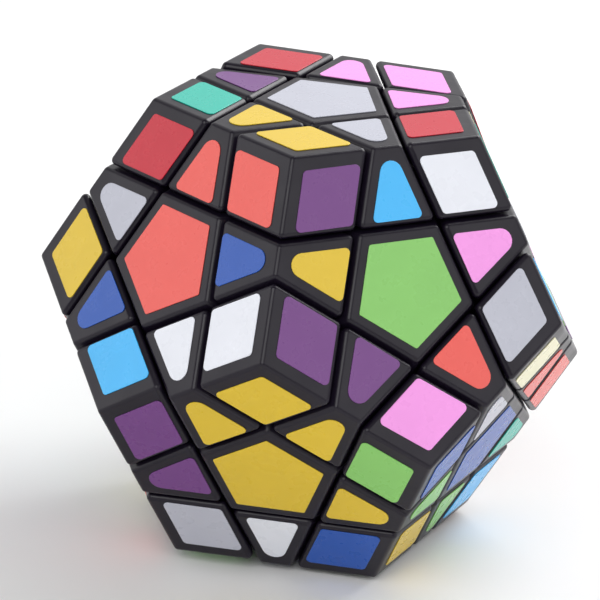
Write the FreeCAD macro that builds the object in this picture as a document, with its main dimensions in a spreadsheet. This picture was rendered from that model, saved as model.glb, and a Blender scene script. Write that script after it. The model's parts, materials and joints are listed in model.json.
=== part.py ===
"""Dodecahedron twisty puzzle: twelve turning faces, 12 centres, 30 edges and 20 corners on a sprung core.

Frame: millimetres, +Z up. The puzzle stands on its white face, and the origin is on the ground below the
middle of that face. Three layers are at rest a few degrees out of line, as play leaves them. Two of them
reach a little below the white face, and the lowest corner touches the ground.
Every piece is cut by the same twelve surfaces, one for each face. Above the ledge sphere the surface is a
plane square to the face's axis. Below it the surface is a cone about that axis, wider than the plane, so
that the feet of the edges reach under the centres and the feet of the corners reach under the edges.
A corner is inside three of these surfaces, an edge inside two and a centre inside one.
"""
import FreeCAD, Part
import Sketcher
import math
import os
import sys
from itertools import combinations

Vector = FreeCAD.Vector

# Driving dimensions, millimetres: alias, value, meaning.
SIZES = [
    ("across_flats", 68.0, "from each outer face to the opposite one"),
    ("edge_tip_width", 4.9, "width of an edge piece's slot where its two faces meet"),
    ("piece_gap", 0.3, "gap between neighbouring pieces, on planes, cones and ledge"),
    ("rounding", 0.8, "radius along the outer edges of every piece"),
    ("centre_thickness", 3.0, "outer face to ledge sphere, at the middle of a centre"),
    ("foot_overlap", 4.4, "how far a foot reaches under its neighbour, along the ledge sphere"),
    ("foot_thickness", 5.0, "thickness of the feet below the ledge sphere"),
    ("cap_thickness", 1.6, "plate of the cap that covers a centre's screw"),
    ("plug_length", 1.0, "round plug under the cap, in the mouth of the well"),
    ("plug_fit", 0.03, "radial gap between plug and well"),
    ("core_ball", 19.0, "diameter of the core's ball"),
    ("arm_reach", 16.0, "core centre to the end of each arm"),
    ("thread_diameter", 3.0, "tension screw, over its thread"),
    ("thread_bite", 0.1, "radial bite of the self-tapping thread in the core arm"),
    ("thread_hold", 7.0, "length of thread inside the core arm"),
    ("tip_length", 1.5, "conical tip of the screw"),
    ("pilot_spare", 1.0, "pilot hole below the screw's tip"),
    ("head_diameter", 5.6, "screw head"),
    ("head_height", 2.0, "screw head"),
    ("recess_width", 0.9, "blade of the cross recess in the screw head"),
    ("recess_span", 3.4, "length of each blade of the cross recess"),
    ("recess_depth", 1.2, "depth of the cross recess"),
    ("head_clearance", 0.3, "screw head to the cap's plug"),
    ("washer_thickness", 0.5, "washer under the screw head"),
    ("bore_clearance", 0.2, "radial gap round the screw, in the stem and the washer"),
    ("well_clearance", 0.4, "radial gap between the screw head and the stem's well"),
    ("stem_wall", 1.3, "wall round the well"),
    ("stem_floor", 2.5, "floor of the well, which the spring presses on"),
    ("stem_lift", 0.2, "gap between the stem and the end of the core arm"),
    ("spring_wire", 0.6, "wire diameter of the tension spring"),
    ("spring_coils", 5.0, "number of turns in the tension spring"),
    ("spring_seat", 0.1, "gap at each end of the tension spring"),
    ("purple_turn", 3.8, "purple layer's angle out of line at rest, degrees"),
    ("cream_turn", 2.4, "cream layer's angle out of line at rest, degrees"),
    ("blue_turn", 1.4, "blue layer's angle out of line at rest, degrees"),
]

# Angles of a regular dodecahedron, degrees, and the ratio that they come from.
GOLDEN = (1 + math.sqrt(5)) / 2
FACE_TO_FACE = math.degrees(math.atan(2))
FACE_TO_RIDGE = math.degrees(math.atan(1 / GOLDEN))
FACE_TO_VERTEX = math.degrees(math.atan(2 / GOLDEN ** 2))
RIDGE_TO_FAR_FACE = 90 - FACE_TO_RIDGE

# The twelve faces by the colour of their centres: tilt from +Z, and turn about +Z from +X, degrees.
FACES = {
    "grey": (0, 0),
    "orange": (FACE_TO_FACE, -126),
    "green": (FACE_TO_FACE, -54),
    "pink": (FACE_TO_FACE, 18),
    "cream": (FACE_TO_FACE, 90),
    "sky": (FACE_TO_FACE, 162),
    "yellow": (180 - FACE_TO_FACE, -90),
    "blue": (180 - FACE_TO_FACE, -18),
    "red": (180 - FACE_TO_FACE, 54),
    "teal": (180 - FACE_TO_FACE, 126),
    "purple": (180 - FACE_TO_FACE, 198),
    "white": (180, 0),
}

# The layers that are out of line at rest. They share no piece, so they still turn, and block all the others.
TURNING = ("purple", "cream", "blue")

# Rounding error allowed where two places are compared.
TOLERANCE = 1e-6

# Distances from the puzzle's middle, as expressions on the sheet's cells.
FACE = "(Sizes.across_flats / 2)"
CUT = f"({FACE} / {GOLDEN} + Sizes.edge_tip_width / 2 * cos({FACE_TO_RIDGE}))"
INSIDE_CUT = f"({CUT} + Sizes.piece_gap / 2)"
OUTSIDE_CUT = f"({CUT} - Sizes.piece_gap / 2)"
LEDGE = f"({FACE} - Sizes.centre_thickness)"
LEDGE_TOP = f"({LEDGE} + Sizes.piece_gap / 2)"
LEDGE_UNDERSIDE = f"({LEDGE} - Sizes.piece_gap / 2)"
FOOT_SOLE = f"({LEDGE_UNDERSIDE} - Sizes.foot_thickness)"
FOOT_ANGLE = f"(acos({CUT} / {LEDGE}) + Sizes.foot_overlap / {LEDGE} * 1 rad)"
CAP_UNDERSIDE = f"({FACE} - Sizes.cap_thickness)"
PLUG_END = f"({CAP_UNDERSIDE} - Sizes.plug_length)"
HEAD_TOP = f"({PLUG_END} - Sizes.head_clearance)"
HEAD_SEAT = f"({HEAD_TOP} - Sizes.head_height)"
WASHER_UNDERSIDE = f"({HEAD_SEAT} - Sizes.washer_thickness)"
STEM_END = "(Sizes.arm_reach + Sizes.stem_lift)"
WELL_FLOOR = f"({STEM_END} + Sizes.stem_floor)"
SCREW_END = "(Sizes.arm_reach - Sizes.thread_hold)"
PILOT_END = f"({SCREW_END} - Sizes.pilot_spare)"

# Radii about a face's axis.
WELL_RADIUS = "(Sizes.head_diameter / 2 + Sizes.well_clearance)"
STEM_RADIUS = f"({WELL_RADIUS} + Sizes.stem_wall)"
BORE_RADIUS = "(Sizes.thread_diameter / 2 + Sizes.bore_clearance)"
PILOT_RADIUS = "(Sizes.thread_diameter / 2 - Sizes.thread_bite)"
SPRING_RADIUS = "(Sizes.head_diameter / 2 - Sizes.spring_wire / 2)"

doc = FreeCAD.newDocument("TwistyPuzzle")


def make_sheet():
    """The spreadsheet that holds every driving dimension."""
    table = doc.addObject("Spreadsheet::Sheet", "Sizes")
    for row, (alias, number, meaning) in enumerate(SIZES, start=1):
        table.set(f"A{row}", alias)
        table.set(f"B{row}", str(number))
        table.set(f"C{row}", meaning)
        table.setAlias(f"B{row}", alias)
    doc.recompute()
    return table


sheet = make_sheet()


def value(expression):
    """The number that an expression on the sheet gives."""
    return float(sheet.evalExpression(expression))


# Building blocks.

def bind(thing, **expressions):
    """Bind properties of an object to expressions on the sheet."""
    for name, expression in expressions.items():
        thing.setExpression(name, expression)
    return thing


def stand(tilt=0, turn=0, lift="0", across="0"):
    """Placement expression: moved by -across in X and Y and up by lift, then tilted and turned."""
    turned = f"placement(vector(0; 0; 0); rotation(vector(0; 0; 1); {turn}))"
    tilted = f"placement(vector(0; 0; 0); rotation(vector(0; 1; 0); {tilt}))"
    moved = f"placement(vector(-{across}; -{across}; {lift}); rotation(vector(0; 0; 1); 0))"
    return f"{turned} * {tilted} * {moved}"


def slab(name, tilt, turn, low, high):
    """Everything between two planes square to one direction, at distances low and high."""
    box = doc.addObject("Part::Box", name)
    reach = "Sizes.across_flats"
    placed = stand(tilt, turn, low, reach)
    bind(box, Length=f"2 * {reach}", Width=f"2 * {reach}", Height=f"{high} - ({low})")
    return bind(box, Placement=placed)


def cylinder(name, radius, low, high, tilt=0, turn=0):
    """A round bar along one direction, from distance low to distance high."""
    bar = doc.addObject("Part::Cylinder", name)
    return bind(bar, Radius=radius, Height=f"{high} - ({low})", Placement=stand(tilt, turn, low))


def cone(name, tilt, turn, inset):
    """The foot cone about one face's axis, with its wall moved inwards by inset."""
    wedge = doc.addObject("Part::Cone", name)
    wedge.Radius1 = 0
    lift = f"{inset} / sin({FOOT_ANGLE})"
    return bind(wedge, Radius2=f"{FACE} * tan({FOOT_ANGLE})", Height=FACE, Placement=stand(tilt, turn, lift))


def ball(name, radius):
    return bind(doc.addObject("Part::Sphere", name), Radius=radius)


def common(name, *things):
    result = doc.addObject("Part::MultiCommon", name)
    result.Shapes = list(things)
    return result


def fuse(name, *things):
    result = doc.addObject("Part::MultiFuse", name)
    result.Shapes = list(things)
    result.Refine = True
    return result


def cut(name, thing, tool):
    result = doc.addObject("Part::Cut", name)
    result.Base = thing
    result.Tool = tool
    return result


def direction(tilt, turn):
    """Unit vector at a tilt from +Z and a turn about +Z from +X."""
    up, round_z = math.radians(tilt), math.radians(turn)
    return Vector(math.sin(up) * math.cos(round_z), math.sin(up) * math.sin(round_z), math.cos(up))


def rounded(name, block, outer_faces):
    """The block as a body with every edge that starts or ends on an outer face rounded."""
    body = doc.addObject("PartDesign::Body", name)
    body.BaseFeature = block
    doc.recompute()
    raw = body.Group[0]
    normals = [direction(tilt, turn) for tilt, turn in outer_faces]

    def on_outer_face(vertex):
        return any(abs(vertex.Point.dot(normal) - value(FACE)) < TOLERANCE for normal in normals)

    fillet = body.newObject("PartDesign::Fillet", f"{name}_fillet")
    edges = enumerate(raw.Shape.Edges, start=1)
    fillet.Base = (raw, [f"Edge{i}" for i, edge in edges if any(map(on_outer_face, edge.Vertexes))])
    bind(fillet, Radius="Sizes.rounding")
    doc.recompute()
    return body


# One master of each piece, with its own +Z out of the puzzle's middle and +X towards its first face.

def make_foot_shell():
    """The hollow ball that holds all the feet."""
    return cut("foot_shell", ball("foot_ball", LEDGE_UNDERSIDE), ball("foot_hollow", FOOT_SOLE))


def make_corner(foot_shell):
    """Corner: a block with three outer faces, on a foot that reaches under three edges and centres."""
    faces = [(FACE_TO_VERTEX, 120 * i) for i in range(3)]
    slabs = [slab(f"corner_slab_{i}", *face, INSIDE_CUT, FACE) for i, face in enumerate(faces)]
    block = rounded("corner_block", common("corner_planes", *slabs), faces)
    cones = [cone(f"corner_cone_{i}", *face, "Sizes.piece_gap / 2") for i, face in enumerate(faces)]
    foot = common("corner_foot", foot_shell, *cones)
    return fuse("corner_master", block, foot)


def make_edge(foot_shell):
    """Edge: a block with two outer faces, on a foot that reaches under two centres."""
    faces = [(FACE_TO_RIDGE, 0), (FACE_TO_RIDGE, 180)]
    far_faces = [(RIDGE_TO_FAR_FACE, 90), (RIDGE_TO_FAR_FACE, 270)]
    slabs = [slab(f"edge_slab_{i}", *face, INSIDE_CUT, FACE) for i, face in enumerate(faces)]
    ends = [slab(f"edge_end_{i}", *face, f"-{FACE}", OUTSIDE_CUT) for i, face in enumerate(far_faces)]
    block = rounded("edge_block", common("edge_planes", *slabs, *ends), faces)
    cones = [cone(f"edge_cone_{i}", *face, "Sizes.piece_gap / 2") for i, face in enumerate(faces)]
    widening = "-Sizes.piece_gap / 2"
    far_cones = [cone(f"edge_far_cone_{i}", *face, widening) for i, face in enumerate(far_faces)]
    beyond = fuse("edge_far_cones", *far_cones)
    foot = cut("edge_foot", common("edge_foot_whole", foot_shell, *cones), beyond)
    relief = common("edge_relief", ball("edge_relief_ball", LEDGE_TOP), beyond)
    return fuse("edge_master", cut("edge_head", block, relief), foot)


def make_centre():
    """Centre: a base that holds down five edges, and the cap over its screw."""
    neighbours = [(FACE_TO_FACE, 72 * i) for i in range(5)]
    plate = slab("centre_slab", 0, 0, INSIDE_CUT, FACE)
    sides = [slab(f"centre_side_{i}", *face, f"-{FACE}", OUTSIDE_CUT) for i, face in enumerate(neighbours)]
    block = rounded("centre_block", common("centre_planes", plate, *sides), [(0, 0)])
    lid = slab("cap_slab", 0, 0, CAP_UNDERSIDE, f"2 * {FACE}")

    plug = cylinder("cap_plug", f"{WELL_RADIUS} - Sizes.plug_fit", PLUG_END, CAP_UNDERSIDE)
    cap = fuse("centre_cap_master", common("cap_plate", block, lid), plug)

    skirt = cut("base_skirt", cut("base_plate", block, lid), ball("base_hollow", LEDGE_TOP))
    stem = cylinder("base_stem", STEM_RADIUS, STEM_END, CAP_UNDERSIDE)
    well = cylinder("base_well", WELL_RADIUS, WELL_FLOOR, FACE)
    bore = cylinder("base_bore", BORE_RADIUS, "Sizes.arm_reach", FACE)
    solid_base = fuse("base_solid", skirt, stem)
    base = cut("centre_base_master", solid_base, fuse("base_holes", well, bore))
    return base, cap


def make_core():
    """Core: a ball with twelve arms, each with a pilot hole for a tension screw."""
    arms, pilots = [], []
    for colour, (tilt, turn) in FACES.items():
        arms.append(cylinder(f"arm_{colour}", STEM_RADIUS, "0", "Sizes.arm_reach", tilt, turn))
        pilots.append(cylinder(f"pilot_{colour}", PILOT_RADIUS, PILOT_END, FACE, tilt, turn))
    solid_core = fuse("core_solid", ball("core_ball", "Sizes.core_ball / 2"), *arms)
    return cut("core_master", solid_core, fuse("core_pilots", *pilots))


def revolved(name, corners):
    """A body turned about +Z from a closed outline of (radius, height) expressions."""
    body = doc.addObject("PartDesign::Body", name)
    sketch = body.newObject("Sketcher::SketchObject", f"{name}_outline")
    upright = next(plane for plane in body.Origin.OriginFeatures if plane.Role == "XZ_Plane")
    sketch.AttachmentSupport = [(upright, "")]
    sketch.MapMode = "FlatFace"
    points = [Vector(value(radius), value(height), 0) for radius, height in corners]
    for i, point in enumerate(points):
        sketch.addGeometry(Part.LineSegment(point, points[(i + 1) % len(points)]))
    for i, (radius, height) in enumerate(corners):
        sketch.addConstraint(Sketcher.Constraint("Coincident", i, 2, (i + 1) % len(corners), 1))
        up = sketch.addConstraint(Sketcher.Constraint("DistanceY", -1, 1, i, 1, points[i].y))
        sketch.setExpression(f"Constraints[{up}]", height)
        if points[i].x == 0:
            sketch.addConstraint(Sketcher.Constraint("PointOnObject", i, 1, -2))
        else:
            out = sketch.addConstraint(Sketcher.Constraint("DistanceX", -1, 1, i, 1, points[i].x))
            sketch.setExpression(f"Constraints[{out}]", radius)
    turned = body.newObject("PartDesign::Revolution", f"{name}_turned")
    turned.Profile = sketch
    turned.ReferenceAxis = (sketch, ["V_Axis"])
    turned.Angle = 360
    doc.recompute()
    return body


def recess_blade(name, length, width):
    """One bar of the cross recess in the screw head."""
    corner = f"vector(-{length} / 2; -{width} / 2; {HEAD_TOP} - Sizes.recess_depth)"
    placed = f"placement({corner}; rotation(vector(0; 0; 1); 0))"
    blade = doc.addObject("Part::Box", name)
    return bind(blade, Length=length, Width=width, Height="2 * Sizes.recess_depth", Placement=placed)


def make_screw():
    """Tension screw: flat-bottomed head with a cross recess, plain shank and conical tip."""
    shank, head = "Sizes.thread_diameter / 2", "Sizes.head_diameter / 2"
    blank = revolved("screw_blank", [
        ("0", SCREW_END),
        (shank, f"{SCREW_END} + Sizes.tip_length"),
        (shank, HEAD_SEAT),
        (head, HEAD_SEAT),
        (head, HEAD_TOP),
        ("0", HEAD_TOP),
    ])
    span, width = "Sizes.recess_span", "Sizes.recess_width"
    blades = recess_blade("recess_along", span, width), recess_blade("recess_across", width, span)
    return cut("screw_master", blank, fuse("recess", *blades))


def make_washer():
    """Washer between the spring and the screw head."""
    disc = cylinder("washer_disc", "Sizes.head_diameter / 2", WASHER_UNDERSIDE, HEAD_SEAT)
    hole = cylinder("washer_hole", BORE_RADIUS, "Sizes.arm_reach", FACE)
    return cut("washer_master", disc, hole)


def make_spring():
    """Tension spring: round wire on a helix, between the floor of the well and the washer."""
    end_room = "(Sizes.spring_seat + Sizes.spring_wire / 2)"
    low = f"({WELL_FLOOR} + {end_room})"
    rise = f"({WASHER_UNDERSIDE} - {end_room} - {low})"
    helix = doc.addObject("Part::Helix", "spring_helix")
    pitch = f"{rise} / Sizes.spring_coils"
    bind(helix, Radius=SPRING_RADIUS, Height=rise, Pitch=pitch, Placement=stand(lift=low))
    wire = doc.addObject("Part::Circle", "spring_section")
    start = f"placement(vector({SPRING_RADIUS}; 0; {low}); rotation(vector(1; 0; 0); 90))"
    bind(wire, Radius="Sizes.spring_wire / 2", Placement=start)
    doc.recompute()
    coil = doc.addObject("Part::Sweep", "spring_master")
    coil.Sections = [wire]
    coil.Spine = (helix, ["Edge1"])
    coil.Solid = True
    coil.Frenet = True
    return coil


# Placing the pieces.

NORMALS = {colour: direction(tilt, turn) for colour, (tilt, turn) in FACES.items()}


def touching(*colours):
    """Whether these faces all share a ridge or a vertex."""
    share = math.cos(math.radians(FACE_TO_FACE)) - TOLERANCE
    pairs = [(a, b) for i, a in enumerate(colours) for b in colours[i + 1:]]
    return all(NORMALS[a].dot(NORMALS[b]) > share for a, b in pairs)


def slot_rotation(*colours):
    """Turns a master into the slot between these faces, and with its layer where that is out of line."""
    outwards = sum((NORMALS[colour] for colour in colours), Vector())
    first = colours[0]
    neighbours = [colour for colour in FACES if colour != first and touching(colour, first)]
    towards = NORMALS[first] if len(colours) > 1 else NORMALS[neighbours[0]]
    rotation = FreeCAD.Rotation(towards, Vector(), outwards, "ZXY")
    for layer in set(TURNING) & set(colours):
        rotation = FreeCAD.Rotation(NORMALS[layer], value(f"Sizes.{layer}_turn")) * rotation
    return rotation


def rest_height(corner, slots):
    """Height of the puzzle's middle above the ground, with its lowest corner on the ground."""
    lowest = 0
    for colours in slots:
        piece = corner.Shape.copy()
        piece.Placement = FreeCAD.Placement(Vector(), slot_rotation(*colours))
        lowest = min(lowest, piece.optimalBoundingBox(False).ZMin)
    return -lowest


def place(master, name, middle, *colours):
    """A copy of a master in the slot between these faces, under its own name."""
    piece = doc.addObject("Part::Feature", name)
    piece.Label = name
    piece.Shape = master.Shape
    piece.Placement = FreeCAD.Placement(middle, slot_rotation(*colours))
    return piece


def group(name, pieces):
    """Several separate solids as one sub-part."""
    together = doc.addObject("Part::Compound", name)
    together.Label = name
    together.Links = pieces
    return together


def assemble():
    """Every sub-part of the puzzle, in its place."""
    foot_shell = make_foot_shell()
    corner, edge, core = make_corner(foot_shell), make_edge(foot_shell), make_core()
    base, cap = make_centre()
    screw, washer, spring = make_screw(), make_washer(), make_spring()
    doc.recompute()

    edge_slots = [pair for pair in combinations(FACES, 2) if touching(*pair)]
    corner_slots = [trio for trio in combinations(FACES, 3) if touching(*trio)]
    middle = Vector(0, 0, rest_height(corner, corner_slots))
    parts = [place(edge, "_".join(["edge", *pair]), middle, *pair) for pair in edge_slots]
    parts += [place(corner, "_".join(["corner", *trio]), middle, *trio) for trio in corner_slots]

    fixed, screws, springs = [], [], []
    for colour in FACES:
        holder = parts if colour in TURNING else fixed
        holder.append(place(base, f"centre_base_{colour}", middle, colour))
        holder.append(place(cap, f"centre_cap_{colour}", middle, colour))
        screws.append(place(screw, f"screw_{colour}", middle, colour))
        screws.append(place(washer, f"washer_{colour}", middle, colour))
        springs.append(place(spring, f"spring_{colour}", middle, colour))
    parts.append(group("fixed_centres", fixed))
    parts.append(group("tension_screws", screws))
    parts.append(group("tension_springs", springs))

    hub = doc.addObject("Part::Feature", "core")
    hub.Label = "core"
    hub.Shape = core.Shape
    hub.Placement = FreeCAD.Placement(middle, FreeCAD.Rotation())
    parts.append(hub)
    doc.recompute()
    return parts


def check(parts):
    """Stop on any failed feature, or on a sub-part that isn't one or more sound solids."""
    for thing in doc.Objects:
        if "Invalid" in thing.State or "Error" in thing.State:
            sys.exit(f"{thing.Name} failed: {thing.State}")
    for part in parts:
        shape = part.Shape
        if shape.isNull() or not shape.isValid() or not shape.Solids:
            sys.exit(f"{part.Label} has no sound solid")


def export(parts):
    os.makedirs("parts", exist_ok=True)
    for part in parts:
        part.Shape.exportStep(f"parts/{part.Label}.step")


sub_parts = assemble()
check(sub_parts)
export(sub_parts)
for part in sub_parts:
    print(f"{part.Label:32s} {len(part.Shape.Solids):3d} solids {part.Shape.Volume:10.1f} mm3")
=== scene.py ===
import json
import math
import random

import bmesh
import bpy
from mathutils import Matrix, Vector

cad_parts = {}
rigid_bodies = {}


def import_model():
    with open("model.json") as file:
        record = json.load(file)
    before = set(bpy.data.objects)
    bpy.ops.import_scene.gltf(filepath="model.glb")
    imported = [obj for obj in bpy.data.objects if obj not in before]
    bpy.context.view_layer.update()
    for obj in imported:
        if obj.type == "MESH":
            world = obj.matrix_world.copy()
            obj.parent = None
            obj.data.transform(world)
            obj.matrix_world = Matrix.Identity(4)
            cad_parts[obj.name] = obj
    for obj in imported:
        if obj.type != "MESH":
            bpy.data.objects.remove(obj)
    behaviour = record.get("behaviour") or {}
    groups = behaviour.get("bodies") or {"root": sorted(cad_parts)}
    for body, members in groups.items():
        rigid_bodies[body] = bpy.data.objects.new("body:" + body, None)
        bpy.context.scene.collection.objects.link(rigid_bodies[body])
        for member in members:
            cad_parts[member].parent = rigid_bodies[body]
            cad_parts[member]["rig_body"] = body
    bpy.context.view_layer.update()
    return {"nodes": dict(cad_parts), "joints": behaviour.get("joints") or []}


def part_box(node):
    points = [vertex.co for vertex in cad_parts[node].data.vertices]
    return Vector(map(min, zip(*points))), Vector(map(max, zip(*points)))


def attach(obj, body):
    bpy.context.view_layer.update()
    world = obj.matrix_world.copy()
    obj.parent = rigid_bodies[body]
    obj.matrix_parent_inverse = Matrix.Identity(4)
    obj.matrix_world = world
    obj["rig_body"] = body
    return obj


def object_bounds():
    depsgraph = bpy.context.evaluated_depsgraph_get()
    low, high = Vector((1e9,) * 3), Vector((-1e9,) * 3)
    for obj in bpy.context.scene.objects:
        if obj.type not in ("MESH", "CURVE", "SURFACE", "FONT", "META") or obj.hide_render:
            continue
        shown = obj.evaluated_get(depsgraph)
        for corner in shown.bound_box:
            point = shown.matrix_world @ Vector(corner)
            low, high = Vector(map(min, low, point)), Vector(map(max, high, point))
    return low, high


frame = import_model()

MM = 0.001

# The puzzle's middle, where all its axes meet, and how far each face is from it.
MIDDLE = Vector(frame["joints"][0]["pos_m"])
FACE = MIDDLE.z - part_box("fixed_centres")[0].z

# The film that stickers are cut from, and its softened rim.
STICKER_THICKNESS = 0.14 * MM
STICKER_BEVEL = 0.05 * MM
BEVEL_MIDDLE = 0.3 * STICKER_BEVEL

# Where stickers are cut, as distances from the middle of a face, and how their corners are rounded.
CENTRE_SIDE = 7.1 * MM
CENTRE_ROUND = 0.35 * MM
CORNER_INNER = 10.15 * MM
CORNER_OUTER = 18.95 * MM
CORNER_ROUND = 0.75 * MM
EDGE_INNER = 10.05 * MM
EDGE_SIDE = 7.08 * MM
EDGE_TIP = 18.85 * MM
EDGE_ROUND = 0.7 * MM
ARC_STEPS = 8

# Stickers are put on by hand: each is shifted and turned a little.
STICKER_SHIFT = 0.1 * MM
STICKER_TURN = math.radians(0.7)
HAND_SEED = 12

# Angles of a regular dodecahedron.
FACE_TO_FACE = math.atan(2)
FIFTH = math.radians(72)
ANGLE_TOLERANCE = 0.001

# The twelve faces by the colour of their centres: tilt from +Z, and turn about +Z from +X.
FACES = {
    "grey": (0, 0),
    "orange": (FACE_TO_FACE, math.radians(-126)),
    "green": (FACE_TO_FACE, math.radians(-54)),
    "pink": (FACE_TO_FACE, math.radians(18)),
    "cream": (FACE_TO_FACE, math.radians(90)),
    "sky": (FACE_TO_FACE, math.radians(162)),
    "yellow": (math.pi - FACE_TO_FACE, math.radians(-90)),
    "blue": (math.pi - FACE_TO_FACE, math.radians(-18)),
    "red": (math.pi - FACE_TO_FACE, math.radians(54)),
    "teal": (math.pi - FACE_TO_FACE, math.radians(126)),
    "purple": (math.pi - FACE_TO_FACE, math.radians(198)),
    "white": (math.pi, 0),
}

# The layers that stand out of line at rest, and by how much.
REST_TURN = {
    "purple": math.radians(3.8),
    "cream": math.radians(2.4),
    "blue": math.radians(1.4),
}

# The scramble: the colour that each edge and corner shows on each of its faces, in the order of its name.
# The faces in view are as scrambled on the real one, and the rest is a state that turning can reach.
SCRAMBLE = {
    "edge_grey_orange": "yellow orange",
    "edge_grey_green": "grey sky",
    "edge_grey_pink": "pink cream",
    "edge_grey_cream": "pink red",
    "edge_grey_sky": "purple sky",
    "edge_orange_green": "blue yellow",
    "edge_orange_sky": "grey green",
    "edge_orange_yellow": "white yellow",
    "edge_orange_purple": "blue pink",
    "edge_green_pink": "pink grey",
    "edge_green_yellow": "purple yellow",
    "edge_green_blue": "orange grey",
    "edge_pink_cream": "sky teal",
    "edge_pink_blue": "green orange",
    "edge_pink_red": "sky orange",
    "edge_cream_sky": "sky cream",
    "edge_cream_red": "teal white",
    "edge_cream_teal": "blue red",
    "edge_sky_teal": "grey cream",
    "edge_sky_purple": "purple teal",
    "edge_yellow_blue": "yellow green",
    "edge_yellow_purple": "purple orange",
    "edge_yellow_white": "white blue",
    "edge_blue_red": "teal cream",
    "edge_blue_white": "green blue",
    "edge_red_teal": "white red",
    "edge_red_white": "green pink",
    "edge_teal_purple": "red teal",
    "edge_teal_white": "white purple",
    "edge_purple_white": "cream red",
    "corner_grey_orange_green": "yellow orange purple",
    "corner_grey_orange_sky": "teal red cream",
    "corner_grey_green_pink": "red white teal",
    "corner_grey_pink_cream": "pink red cream",
    "corner_grey_cream_sky": "red pink blue",
    "corner_orange_green_yellow": "white purple yellow",
    "corner_orange_sky_purple": "yellow green orange",
    "corner_orange_yellow_purple": "sky purple teal",
    "corner_green_pink_blue": "grey sky cream",
    "corner_green_yellow_blue": "pink green blue",
    "corner_pink_cream_red": "white teal purple",
    "corner_pink_blue_red": "purple orange sky",
    "corner_cream_sky_teal": "red white blue",
    "corner_cream_red_teal": "grey green pink",
    "corner_sky_teal_purple": "cream teal sky",
    "corner_yellow_blue_white": "blue yellow green",
    "corner_yellow_purple_white": "grey orange green",
    "corner_blue_red_white": "sky grey orange",
    "corner_red_teal_white": "blue white yellow",
    "corner_teal_purple_white": "grey cream pink",
}

# Sticker colours, linear.
VINYL = {
    "grey": (0.52, 0.53, 0.61),
    "orange": (0.87, 0.11, 0.09),
    "green": (0.25, 0.60, 0.14),
    "yellow": (0.77, 0.535, 0.028),
    "blue": (0.012, 0.09, 0.45),
    "purple": (0.17, 0.045, 0.23),
    "white": (0.84, 0.86, 0.93),
    "pink": (0.95, 0.34, 0.83),
    "cream": (0.88, 0.84, 0.55),
    "sky": (0.055, 0.50, 0.97),
    "red": (0.58, 0.006, 0.028),
    "teal": (0.008, 0.50, 0.39),
}

# Finishes: the two tones that a surface varies between, linear, and the range of its roughness.
PLASTIC_TONES = (0.006, 0.0035, 0.010), (0.009, 0.006, 0.014)
PLASTIC_ROUGHNESS = 0.28, 0.38
PLASTIC_SPECULAR = 0.36
VINYL_ROUGHNESS = 0.25, 0.32
VINYL_DARKENING = 0.96
SCREW_TONE = (0.66, 0.65, 0.62)
SCREW_ROUGHNESS = 0.28, 0.40
SPRING_TONE = (0.5, 0.5, 0.51)
SPRING_ROUGHNESS = 0.35, 0.47
STEEL_DARKENING = 0.8
NYLON_TONES = (0.02, 0.02, 0.022), (0.035, 0.035, 0.038)
NYLON_ROUGHNESS = 0.55, 0.7
FLOOR_TONES = (0.84, 0.84, 0.84), (0.86, 0.86, 0.86)
FLOOR_ROUGHNESS = 0.85, 0.95

# Camera, round the puzzle's middle. Its azimuth is from the front to the right.
CAMERA_AZIMUTH = math.radians(9.6)
CAMERA_ELEVATION = math.radians(22.6)
CAMERA_ROLL = math.radians(-3.3)
CAMERA_DISTANCE = 579 * MM
CAMERA_LENS = 226
CAMERA_SENSOR = 36
CAMERA_AIM = MIDDLE + Vector((-2.1, 0, 1.0)) * MM

# Brightness of the surroundings in front of the puzzle and behind it, and where it changes, along Y.
FRONT_LIGHT = 0.12
BACK_LIGHT = 0.92
FADE_START = -0.3
FADE_END = 0.7

# Softboxes round the puzzle: azimuth and elevation in degrees, distance and side in metres, and watts.
SOFTBOXES = {
    "key_light": (-8, 38, 1.4, 1.0, 9.7),
    "left_light": (-77, 17, 1.2, 0.8, 3.2),
    "back_light": (146, 38, 0.5, 0.35, 2.1),
    "right_light": (63, 26, 1.2, 0.8, 3.0),
}

# The side of the floor, in metres.
FLOOR_SIZE = 6

# Noise stays mostly between these two values. spread() stretches it from there.
NOISE_LOW = 0.3
NOISE_HIGH = 0.7


def direction(tilt, turn):
    """Unit vector at a tilt from +Z and a turn about +Z from +X."""
    return Vector((math.sin(tilt) * math.cos(turn), math.sin(tilt) * math.sin(turn), math.cos(tilt)))


NORMALS = {face: direction(tilt, turn) for face, (tilt, turn) in FACES.items()}


# Materials.

def new_material(name):
    """An empty node material: its node tree and its Principled shader."""
    material = bpy.data.materials.new(name)
    material.use_nodes = True
    tree = material.node_tree
    return material, tree, tree.nodes["Principled BSDF"]


def noise(tree, scale, detail=2.0):
    """Noise over the object's own coordinates, in patches of 1/scale metres."""
    where = tree.nodes.new("ShaderNodeTexCoord")
    texture = tree.nodes.new("ShaderNodeTexNoise")
    texture.inputs["Scale"].default_value = scale
    texture.inputs["Detail"].default_value = detail
    tree.links.new(where.outputs["Object"], texture.inputs["Vector"])
    return texture.outputs["Fac"]


def spread(tree, source, low, high):
    """A value that runs from low to high as the noise does."""
    ramp = tree.nodes.new("ShaderNodeMapRange")
    ramp.inputs["From Min"].default_value = NOISE_LOW
    ramp.inputs["From Max"].default_value = NOISE_HIGH
    ramp.inputs["To Min"].default_value = low
    ramp.inputs["To Max"].default_value = high
    tree.links.new(source, ramp.inputs["Value"])
    return ramp.outputs["Result"]


def mixed(tree, source, first, second):
    """A colour between two colours, by a value from 0 to 1."""
    mix = tree.nodes.new("ShaderNodeMix")
    mix.data_type = "RGBA"
    mix.inputs["A"].default_value = (*first, 1)
    mix.inputs["B"].default_value = (*second, 1)
    tree.links.new(source, mix.inputs["Factor"])
    return mix.outputs["Result"]


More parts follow.
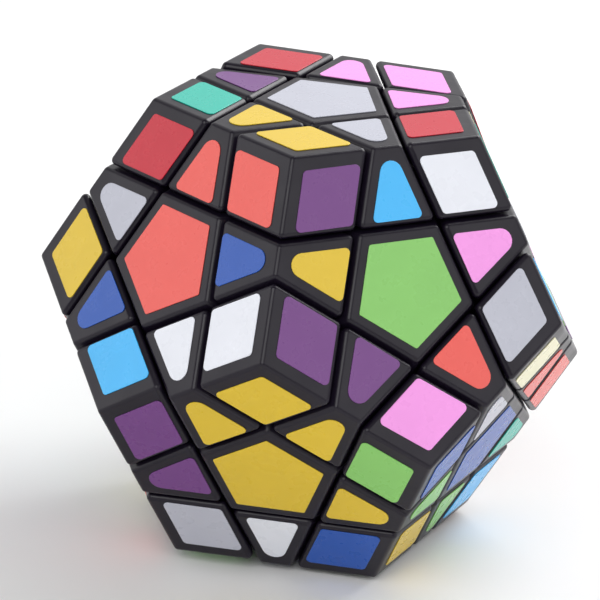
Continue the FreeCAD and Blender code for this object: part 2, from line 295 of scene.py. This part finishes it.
def bump(tree, shader, *layers):
    """Stack height layers, each (source, depth in metres), onto the shader's normal."""
    last = None
    for source, depth in layers:
        node = tree.nodes.new("ShaderNodeBump")
        node.inputs["Distance"].default_value = depth
        tree.links.new(source, node.inputs["Height"])
        if last:
            tree.links.new(last, node.inputs["Normal"])
        last = node.outputs["Normal"]
    tree.links.new(last, shader.inputs["Normal"])


def black_plastic():
    """Satin moulded ABS: fine grain, faint ripples and flow marks, and uneven polish from handling."""
    material, tree, shader = new_material("black_abs")
    colour = mixed(tree, spread(tree, noise(tree, 90), 0, 1), *PLASTIC_TONES)
    polish = spread(tree, noise(tree, 160, 4), *PLASTIC_ROUGHNESS)
    tree.links.new(colour, shader.inputs["Base Color"])
    tree.links.new(polish, shader.inputs["Roughness"])
    shader.inputs["Specular IOR Level"].default_value = PLASTIC_SPECULAR
    grain = noise(tree, 5000, 2)
    flow = noise(tree, 260, 2)
    ripple = noise(tree, 1100, 3)
    bump(tree, shader, (flow, 0.05 * MM), (ripple, 0.012 * MM), (grain, 0.005 * MM))
    return material


def vinyl(name, colour):
    """Satin printed vinyl film: even colour, faint unevenness of the glue under it and fine grain."""
    material, tree, shader = new_material(f"vinyl_{name}")
    darker = tuple(VINYL_DARKENING * channel for channel in colour)
    tint = mixed(tree, spread(tree, noise(tree, 130, 3), 0, 1), darker, colour)
    tree.links.new(tint, shader.inputs["Base Color"])
    tree.links.new(spread(tree, noise(tree, 400, 3), *VINYL_ROUGHNESS), shader.inputs["Roughness"])
    glue = noise(tree, 220, 2)
    grain = noise(tree, 2600, 2)
    bump(tree, shader, (glue, 0.004 * MM), (grain, 0.001 * MM))
    return material


def steel(name, tone, roughness):
    """Plated steel wire and screws, with fine drawing marks."""
    material, tree, shader = new_material(name)
    darker = tuple(STEEL_DARKENING * channel for channel in tone)
    tree.links.new(mixed(tree, noise(tree, 700, 3), darker, tone), shader.inputs["Base Color"])
    shader.inputs["Metallic"].default_value = 1
    tree.links.new(spread(tree, noise(tree, 900, 3), *roughness), shader.inputs["Roughness"])
    bump(tree, shader, (noise(tree, 4000, 2), 0.004 * MM))
    return material


def core_nylon():
    """Matt nylon of the core."""
    material, tree, shader = new_material("core_nylon")
    colour = mixed(tree, noise(tree, 200, 3), *NYLON_TONES)
    tree.links.new(colour, shader.inputs["Base Color"])
    tree.links.new(spread(tree, noise(tree, 300, 3), *NYLON_ROUGHNESS), shader.inputs["Roughness"])
    bump(tree, shader, (noise(tree, 3000, 2), 0.01 * MM))
    return material


def pale_floor():
    """Matt white floor."""
    material, tree, shader = new_material("pale_floor")
    tone = mixed(tree, spread(tree, noise(tree, 3, 3), 0, 1), *FLOOR_TONES)
    tree.links.new(tone, shader.inputs["Base Color"])
    tree.links.new(spread(tree, noise(tree, 60, 3), *FLOOR_ROUGHNESS), shader.inputs["Roughness"])
    return material


def finish_nodes():
    """Give every CAD node its material."""
    special = {
        "core": core_nylon(),
        "tension_screws": steel("plated_steel", SCREW_TONE, SCREW_ROUGHNESS),
        "tension_springs": steel("spring_wire", SPRING_TONE, SPRING_ROUGHNESS),
    }
    plastic = black_plastic()
    for name, node in frame["nodes"].items():
        for slot in node.material_slots:
            slot.material = special.get(name, plastic)


# Stickers.

def along(angle):
    """Unit vector in the plane of a face, at an angle from +X."""
    return Vector((math.cos(angle), math.sin(angle)))


def arcs(corners, radii):
    """Centre, radius, start angle and sweep of the arc that rounds each corner of a convex outline."""
    rounds = []
    for i, (corner, radius) in enumerate(zip(corners, radii)):
        before = (corners[i - 1] - corner).normalized()
        after = (corners[(i + 1) % len(corners)] - corner).normalized()
        half = before.angle(after) / 2
        centre = corner + (before + after).normalized() * radius / math.sin(half)
        start = math.atan2(-before.x, before.y) - math.pi
        sweep = math.pi - 2 * half
        rounds.append((centre, radius, start, sweep))
    return rounds


def ring(rounds, inset):
    """The outline moved inwards by inset, as points."""
    points = []
    for centre, radius, start, sweep in rounds:
        for step in range(ARC_STEPS + 1):
            angle = start + sweep * step / ARC_STEPS
            points.append(centre + along(angle) * (radius - inset))
    return points


def pentagon(apothem):
    """A regular pentagon with one side towards +Y, anticlockwise."""
    reach = apothem / math.cos(FIFTH / 2)
    turns = [math.pi / 2 - FIFTH / 2 + FIFTH * i for i in range(1, 6)]
    return [along(turn) * reach for turn in turns]


def meet(normal_a, distance_a, normal_b, distance_b):
    """Where two lines meet, each given by its normal and its distance from the origin."""
    cross = normal_a.x * normal_b.y - normal_a.y * normal_b.x
    x = (distance_a * normal_b.y - distance_b * normal_a.y) / cross
    y = (distance_b * normal_a.x - distance_a * normal_b.x) / cross
    return Vector((x, y))


def centre_outline():
    """The pentagon of a centre."""
    return arcs(pentagon(CENTRE_SIDE), [CENTRE_ROUND] * 5)


def edge_outline():
    """The wedge of an edge towards +Y: two rounded corners on the inner side and a round tip outwards."""
    out, right, left = along(math.pi / 2), along(math.pi / 2 - FIFTH), along(math.pi / 2 + FIFTH)
    tip = meet(right, EDGE_SIDE, left, EDGE_SIDE)
    half_tip = math.pi / 2 - FIFTH
    tip_round = (tip.y - EDGE_TIP) / (1 / math.sin(half_tip) - 1)
    corners = [meet(left, EDGE_SIDE, out, EDGE_INNER), meet(right, EDGE_SIDE, out, EDGE_INNER), tip]
    return arcs(corners, [EDGE_ROUND, EDGE_ROUND, tip_round])


def corner_outline():
    """The rhombus of a corner towards +Y, between lines square to its two neighbouring faces."""
    right, left = along(math.pi / 2 - FIFTH / 2), along(math.pi / 2 + FIFTH / 2)
    near, far = CORNER_INNER, CORNER_OUTER
    cuts = [(near, near), (far, near), (far, far), (near, far)]
    return arcs([meet(right, a, left, b) for a, b in cuts], [CORNER_ROUND] * 4)


def face_frame(face, towards):
    """A face's own frame about the puzzle's middle: on the face, +Z outwards and +Y towards a direction."""
    normal = NORMALS[face]
    up = (towards - normal * towards.dot(normal)).normalized()
    right = up.cross(normal)
    turned = Matrix((right, up, normal)).transposed().to_4x4()
    return Matrix.Translation(normal * FACE) @ turned


def neighbour(face):
    """The normal of the first face beside this one."""
    for normal in NORMALS.values():
        if math.isclose(normal.angle(NORMALS[face]), FACE_TO_FACE, abs_tol=ANGLE_TOLERANCE):
            return normal


def layer_turn(faces):
    """How far the layer of a piece is out of line, about its own axis."""
    for face in faces:
        if face in REST_TURN:
            return Matrix.Rotation(REST_TURN[face], 4, NORMALS[face])
    return Matrix()


def make_sticker(name, rounds, place, material, body):
    """A thin film lying on a face. Each step up its rim has an inset and a height."""
    steps = [
        (0, 0),
        (0, STICKER_THICKNESS - STICKER_BEVEL),
        (BEVEL_MIDDLE, STICKER_THICKNESS - BEVEL_MIDDLE),
        (STICKER_BEVEL, STICKER_THICKNESS),
    ]
    shape = bmesh.new()
    loops = []
    for inset, height in steps:
        loops.append([shape.verts.new((*point, height)) for point in ring(rounds, inset)])
    count = len(loops[0])
    for low, high in zip(loops, loops[1:]):
        for i in range(count):
            j = (i + 1) % count
            shape.faces.new((low[i], low[j], high[j], high[i])).smooth = True
    shape.faces.new(loops[-1])
    shape.faces.new(reversed(loops[0]))
    shape.transform(place)
    mesh = bpy.data.meshes.new(name)
    shape.to_mesh(mesh)
    shape.free()
    mesh.materials.append(material)
    sticker = bpy.data.objects.new(name, mesh)
    bpy.context.scene.collection.objects.link(sticker)
    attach(sticker, body)


def by_hand(dice, rounds):
    """A small turn about the sticker's own middle, and a small shift."""
    middle = sum((centre for centre, *_ in rounds), Vector((0, 0))) / len(rounds)
    about = Matrix.Translation((*middle, 0))
    turn = Matrix.Rotation(dice.uniform(-STICKER_TURN, STICKER_TURN), 4, "Z")
    shift = Vector((dice.uniform(-1, 1), dice.uniform(-1, 1), 0)) * STICKER_SHIFT
    return Matrix.Translation(shift) @ about @ turn @ about.inverted()


def make_stickers():
    """All 132 stickers, each riding on the body of the piece that it is stuck to."""
    dice = random.Random(HAND_SEED)
    films = {colour: vinyl(colour, tone) for colour, tone in VINYL.items()}
    outlines = {"edge": edge_outline(), "corner": corner_outline(), "centre": centre_outline()}
    pieces = [(piece, piece.split("_")[1:], colours.split()) for piece, colours in SCRAMBLE.items()]
    pieces += [(f"centre_{face}", [face], [face]) for face in FACES]
    for piece, faces, colours in pieces:
        rounds = outlines[piece.split("_")[0]]
        owner = frame["nodes"].get(piece.replace("centre_", "centre_cap_"), frame["nodes"]["fixed_centres"])
        for face, colour in zip(faces, colours):
            others = [NORMALS[other] for other in faces if other != face]
            towards = sum(others, Vector()) if others else neighbour(face)
            on_face = face_frame(face, towards) @ by_hand(dice, rounds)
            place = Matrix.Translation(MIDDLE) @ layer_turn(faces) @ on_face
            name = f"sticker_{piece}_on_{face}"
            make_sticker(name, rounds, place, films[colour], owner["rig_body"])


# Stage, light and camera.

def make_floor():
    """A flat floor under the lowest point of the puzzle."""
    bpy.ops.mesh.primitive_plane_add(size=FLOOR_SIZE, location=(0, 0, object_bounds()[0].z))
    floor = bpy.context.object
    floor.name = "floor"
    floor.data.materials.append(pale_floor())


def softbox(name, azimuth, elevation, distance, size, power):
    """A square area light round the puzzle, facing it. Azimuth 0 is in front, and 90 is to the right."""
    light = bpy.data.lights.new(name, "AREA")
    light.size = size
    light.energy = power
    lamp = bpy.data.objects.new(name, light)
    turn = math.radians(azimuth - 90)
    outwards = direction(math.radians(90 - elevation), turn)
    lamp.location = MIDDLE + outwards * distance
    lamp.rotation_euler = outwards.to_track_quat("Z", "Y").to_euler()
    bpy.context.scene.collection.objects.link(lamp)


def white_surroundings():
    """Surroundings that are brightest behind the puzzle, as in front of a white backdrop."""
    world = bpy.data.worlds.new("studio")
    world.use_nodes = True
    tree = world.node_tree
    backdrop = tree.nodes["Background"]
    backdrop.inputs["Color"].default_value = (1, 1, 1, 1)
    where = tree.nodes.new("ShaderNodeTexCoord")
    parts = tree.nodes.new("ShaderNodeSeparateXYZ")
    fade = tree.nodes.new("ShaderNodeMapRange")
    fade.interpolation_type = "SMOOTHSTEP"
    fade.inputs["From Min"].default_value = FADE_START
    fade.inputs["From Max"].default_value = FADE_END
    fade.inputs["To Min"].default_value = FRONT_LIGHT
    fade.inputs["To Max"].default_value = BACK_LIGHT
    tree.links.new(where.outputs["Generated"], parts.inputs["Vector"])
    tree.links.new(parts.outputs["Y"], fade.inputs["Value"])
    tree.links.new(fade.outputs["Result"], backdrop.inputs["Strength"])
    bpy.context.scene.world = world


def light_studio():
    """White surroundings and four softboxes."""
    white_surroundings()
    for name, (azimuth, elevation, distance, size, power) in SOFTBOXES.items():
        softbox(name, azimuth, elevation, distance, size, power)


def make_camera():
    """A long lens at the angle that the puzzle is seen from, tilted a little."""
    outwards = direction(math.pi / 2 - CAMERA_ELEVATION, CAMERA_AZIMUTH - math.pi / 2)
    level = Vector((0, 0, 1)).cross(outwards).normalized()
    turned = Matrix.Rotation(-CAMERA_ROLL, 3, outwards)
    right = turned @ level
    data = bpy.data.cameras.new("camera")
    data.lens = CAMERA_LENS
    data.sensor_width = CAMERA_SENSOR
    camera = bpy.data.objects.new("camera", data)
    axes = Matrix((right, outwards.cross(right), outwards)).transposed().to_4x4()
    camera.matrix_world = Matrix.Translation(CAMERA_AIM + outwards * CAMERA_DISTANCE) @ axes
    bpy.context.scene.collection.objects.link(camera)
    bpy.context.scene.camera = camera


bpy.context.scene.view_settings.view_transform = "Standard"
make_camera()
finish_nodes()
make_stickers()
make_floor()
light_studio()
